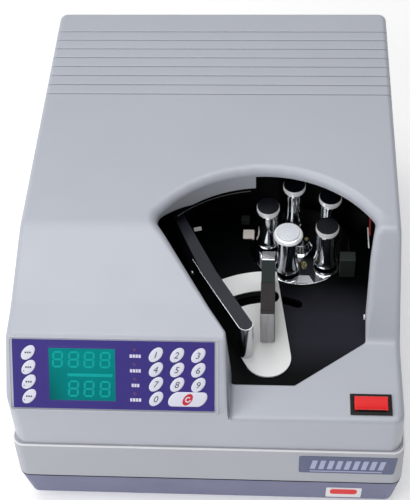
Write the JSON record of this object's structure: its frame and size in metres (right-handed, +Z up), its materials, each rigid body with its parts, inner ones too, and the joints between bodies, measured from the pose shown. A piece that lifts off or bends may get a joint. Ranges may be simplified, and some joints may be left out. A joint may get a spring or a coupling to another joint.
{
  "type": "banknote bundle counter",
  "caption": "Tabletop counter for strapped banknote bundles: sloped keypad console, open note well with a swinging clamp and a turret of turning suction spindles.",
  "frame": {"origin": "centre of the casing's footprint, on the surface that the feet stand on", "axes": "+X to the operator's right, +Y from the front to the back, +Z up"},
  "size_m": [0.3454, 0.4396, 0.234],
  "materials": {
    "cover_grey": "fine textured moulding",
    "casing_grey": "fine textured moulding",
    "base_blue": "satin powder coat",
    "foot_rubber": "matt",
    "screw_steel": "zinc plated",
    "liner_black": "satin",
    "deck_black": "glossy black lacquer",
    "overlay_blue": "satin film",
    "window_teal": "clear tinted window",
    "display_dark": "display block",
    "lamp_red": "small round lamps",
    "board_green": "circuit board",
    "switch_black": "moulded",
    "rocker_red": "translucent red",
    "plate_slate": "blank plate",
    "frame_steel": "zinc plated sheet",
    "motor_dark": "satin",
    "belt_rubber": "matt",
    "pump_grey": "satin",
    "hose_rubber": "matt",
    "gear_brass": "machined",
    "supply_grey": "satin",
    "sensor_grey": "satin",
    "plate_white": "satin white",
    "jaw_dark": "fine grained pad",
    "jaw_steel": "polished sheet",
    "finger_dark": "satin",
    "arm_steel": "milled",
    "turret_chrome": "polished",
    "cap_chrome": "dark polished",
    "key_white": "printed film key"
  },
  "bodies": {
    "root": {"upper_cover": "cover_grey", "lower_casing": "casing_grey", "base_pan": "base_blue", "rubber_feet": "foot_rubber", "case_screws": "screw_steel", "well_liner": "liner_black", "deck_plate": "deck_black", "console_overlay": "overlay_blue", "display_window": "window_teal", "display_module": "display_dark", "status_lamps": "lamp_red", "panel_board": "board_green", "switch_bezel": "switch_black", "name_plate": "plate_slate", "support_frame": "frame_steel", "drive_motor": "motor_dark", "drive_belt": "belt_rubber", "vacuum_pump": "pump_grey", "vacuum_hose": "hose_rubber", "sun_gear": "gear_brass", "turret_bearing": "arm_steel", "power_supply": "supply_grey", "power_inlet": "switch_black", "control_board": "board_green", "sensor_block": "sensor_grey", "pivot_pin": "screw_steel"},
    "turret": {"turret_table": "turret_chrome"},
    "carriage": {"swing_plate": "plate_white", "rest_jaw": "jaw_dark", "jaw_wrap": "jaw_steel"},
    "clamp": {"clamp_arm": "arm_steel", "clamp_finger": "finger_dark", "finger_tip": "jaw_steel"},
    "motor_rotor": {"motor_pulley": "arm_steel"},
    "rocker": {"power_rocker": "rocker_red"},
    "spindle_1": {"spindle_1": "turret_chrome", "spindle_cap_1": "cap_chrome"},
    "spindle_2": {"spindle_2": "turret_chrome", "spindle_cap_2": "cap_chrome"},
    "spindle_3": {"spindle_3": "turret_chrome", "spindle_cap_3": "cap_chrome"},
    "spindle_4": {"spindle_4": "turret_chrome", "spindle_cap_4": "cap_chrome"},
    "spindle_5": {"spindle_5": "turret_chrome", "spindle_cap_5": "cap_chrome"},
    "key_1": {"key_1": "key_white"},
    "key_2": {"key_2": "key_white"},
    "key_3": {"key_3": "key_white"},
    "key_4": {"key_4": "key_white"},
    "key_5": {"key_5": "key_white"},
    "key_6": {"key_6": "key_white"},
    "key_7": {"key_7": "key_white"},
    "key_8": {"key_8": "key_white"},
    "key_9": {"key_9": "key_white"},
    "key_0": {"key_0": "key_white"},
    "key_clear": {"key_clear": "key_white"},
    "key_f1": {"key_f1": "key_white"},
    "key_f2": {"key_f2": "key_white"},
    "key_f3": {"key_f3": "key_white"},
    "key_f4": {"key_f4": "key_white"}
  },
  "joints": [
    {"name": "turret_spin", "type": "hinge", "parent": "root", "child": "turret", "pos_m": [0.0808, -0.02192, 0.1475], "axis": [0, 0, 1], "continuous": true},
    {"name": "spindle_1_spin", "type": "hinge", "parent": "turret", "child": "spindle_1", "pos_m": [0.05044, -0.01905, 0.1475], "axis": [0, 0, 1], "continuous": true},
    {"name": "spindle_2_spin", "type": "hinge", "parent": "turret", "child": "spindle_2", "pos_m": [0.07415, 0.00785, 0.1475], "axis": [0, 0, 1], "continuous": true},
    {"name": "spindle_3_spin", "type": "hinge", "parent": "turret", "child": "spindle_3", "pos_m": [0.10705, -0.00639, 0.1475], "axis": [0, 0, 1], "continuous": true},
    {"name": "spindle_4_spin", "type": "hinge", "parent": "turret", "child": "spindle_4", "pos_m": [0.10368, -0.04209, 0.1475], "axis": [0, 0, 1], "continuous": true},
    {"name": "spindle_5_spin", "type": "hinge", "parent": "turret", "child": "spindle_5", "pos_m": [0.06869, -0.04991, 0.1475], "axis": [0, 0, 1], "continuous": true},
    {"name": "motor_spin", "type": "hinge", "parent": "root", "child": "motor_rotor", "pos_m": [0.0808, 0.08408, 0.08], "axis": [0, 0, 1], "continuous": true},
    {"name": "carriage_swing", "type": "hinge", "parent": "root", "child": "carriage", "pos_m": [0.0515, -0.15042, 0.1475], "axis": [0, 0, 1], "range_deg": [-20, 0]},
    {"name": "clamp_close", "type": "hinge", "parent": "carriage", "child": "clamp", "pos_m": [0.0515, -0.15042, 0.1475], "axis": [0, 0, 1], "range_deg": [0, 25]},
    {"name": "rocker_tilt", "type": "hinge", "parent": "root", "child": "rocker", "pos_m": [0.1394, -0.19792, 0.151], "axis": [1, 0, 0], "range_deg": [-16, 0]},
    {"name": "key_1_press", "type": "slide", "parent": "root", "child": "key_1", "axis": [0, 0.7761, -0.6306], "range_m": [0, 0.0005], "stiffness_N_per_m": 400, "springref_m": -0.0005},
    {"name": "key_2_press", "type": "slide", "parent": "root", "child": "key_2", "axis": [0, 0.7761, -0.6306], "range_m": [0, 0.0005], "stiffness_N_per_m": 400, "springref_m": -0.0005},
    {"name": "key_3_press", "type": "slide", "parent": "root", "child": "key_3", "axis": [0, 0.7761, -0.6306], "range_m": [0, 0.0005], "stiffness_N_per_m": 400, "springref_m": -0.0005},
    {"name": "key_4_press", "type": "slide", "parent": "root", "child": "key_4", "axis": [0, 0.7761, -0.6306], "range_m": [0, 0.0005], "stiffness_N_per_m": 400, "springref_m": -0.0005},
    {"name": "key_5_press", "type": "slide", "parent": "root", "child": "key_5", "axis": [0, 0.7761, -0.6306], "range_m": [0, 0.0005], "stiffness_N_per_m": 400, "springref_m": -0.0005},
    {"name": "key_6_press", "type": "slide", "parent": "root", "child": "key_6", "axis": [0, 0.7761, -0.6306], "range_m": [0, 0.0005], "stiffness_N_per_m": 400, "springref_m": -0.0005},
    {"name": "key_7_press", "type": "slide", "parent": "root", "child": "key_7", "axis": [0, 0.7761, -0.6306], "range_m": [0, 0.0005], "stiffness_N_per_m": 400, "springref_m": -0.0005},
    {"name": "key_8_press", "type": "slide", "parent": "root", "child": "key_8", "axis": [0, 0.7761, -0.6306], "range_m": [0, 0.0005], "stiffness_N_per_m": 400, "springref_m": -0.0005},
    {"name": "key_9_press", "type": "slide", "parent": "root", "child": "key_9", "axis": [0, 0.7761, -0.6306], "range_m": [0, 0.0005], "stiffness_N_per_m": 400, "springref_m": -0.0005},
    {"name": "key_0_press", "type": "slide", "parent": "root", "child": "key_0", "axis": [0, 0.7761, -0.6306], "range_m": [0, 0.0005], "stiffness_N_per_m": 400, "springref_m": -0.0005},
    {"name": "key_clear_press", "type": "slide", "parent": "root", "child": "key_clear", "axis": [0, 0.7761, -0.6306], "range_m": [0, 0.0005], "stiffness_N_per_m": 400, "springref_m": -0.0005},
    {"name": "key_f1_press", "type": "slide", "parent": "root", "child": "key_f1", "axis": [0, 0.7761, -0.6306], "range_m": [0, 0.0005], "stiffness_N_per_m": 400, "springref_m": -0.0005},
    {"name": "key_f2_press", "type": "slide", "parent": "root", "child": "key_f2", "axis": [0, 0.7761, -0.6306], "range_m": [0, 0.0005], "stiffness_N_per_m": 400, "springref_m": -0.0005},
    {"name": "key_f3_press", "type": "slide", "parent": "root", "child": "key_f3", "axis": [0, 0.7761, -0.6306], "range_m": [0, 0.0005], "stiffness_N_per_m": 400, "springref_m": -0.0005},
    {"name": "key_f4_press", "type": "slide", "parent": "root", "child": "key_f4", "axis": [0, 0.7761, -0.6306], "range_m": [0, 0.0005], "stiffness_N_per_m": 400, "springref_m": -0.0005}
  ],
  "couplings": [
    {"joint": "spindle_1_spin", "follows": "turret_spin", "ratio": 2},
    {"joint": "spindle_2_spin", "follows": "turret_spin", "ratio": 2},
    {"joint": "spindle_3_spin", "follows": "turret_spin", "ratio": 2},
    {"joint": "spindle_4_spin", "follows": "turret_spin", "ratio": 2},
    {"joint": "spindle_5_spin", "follows": "turret_spin", "ratio": 2},
    {"joint": "motor_spin", "follows": "turret_spin", "ratio": 2}
  ]
}
